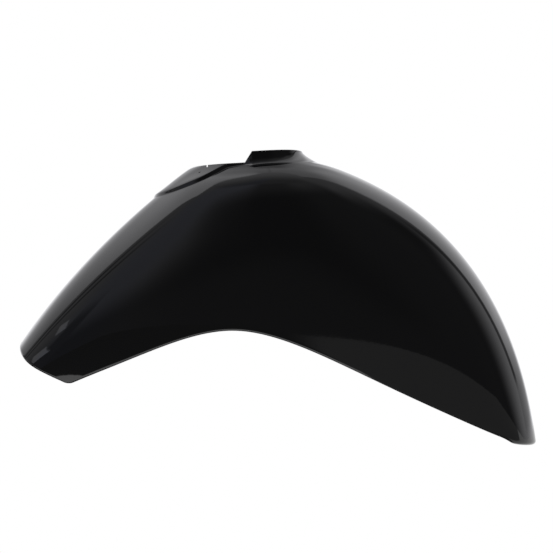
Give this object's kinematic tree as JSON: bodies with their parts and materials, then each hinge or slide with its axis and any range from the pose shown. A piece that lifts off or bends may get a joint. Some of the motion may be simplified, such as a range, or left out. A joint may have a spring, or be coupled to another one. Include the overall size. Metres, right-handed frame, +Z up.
{
  "type": "motor scooter front mudguard",
  "caption": "One-piece moulded front mudguard with a deep rounded nose, a narrower tail, a raised collar and pad round the fork opening, and a turned-in lower edge.",
  "frame": {"origin": "centre of the fork opening, in the plane of the collar's rim", "axes": "+X towards the nose, +Y to the left, +Z up the steering stem"},
  "size_m": [0.5915, 0.2102, 0.3557],
  "materials": {
    "painted_shell": "gloss black paint over moulded plastic"
  },
  "bodies": {
    "root": {"mudguard": "painted_shell"}
  },
  "joints": []
}
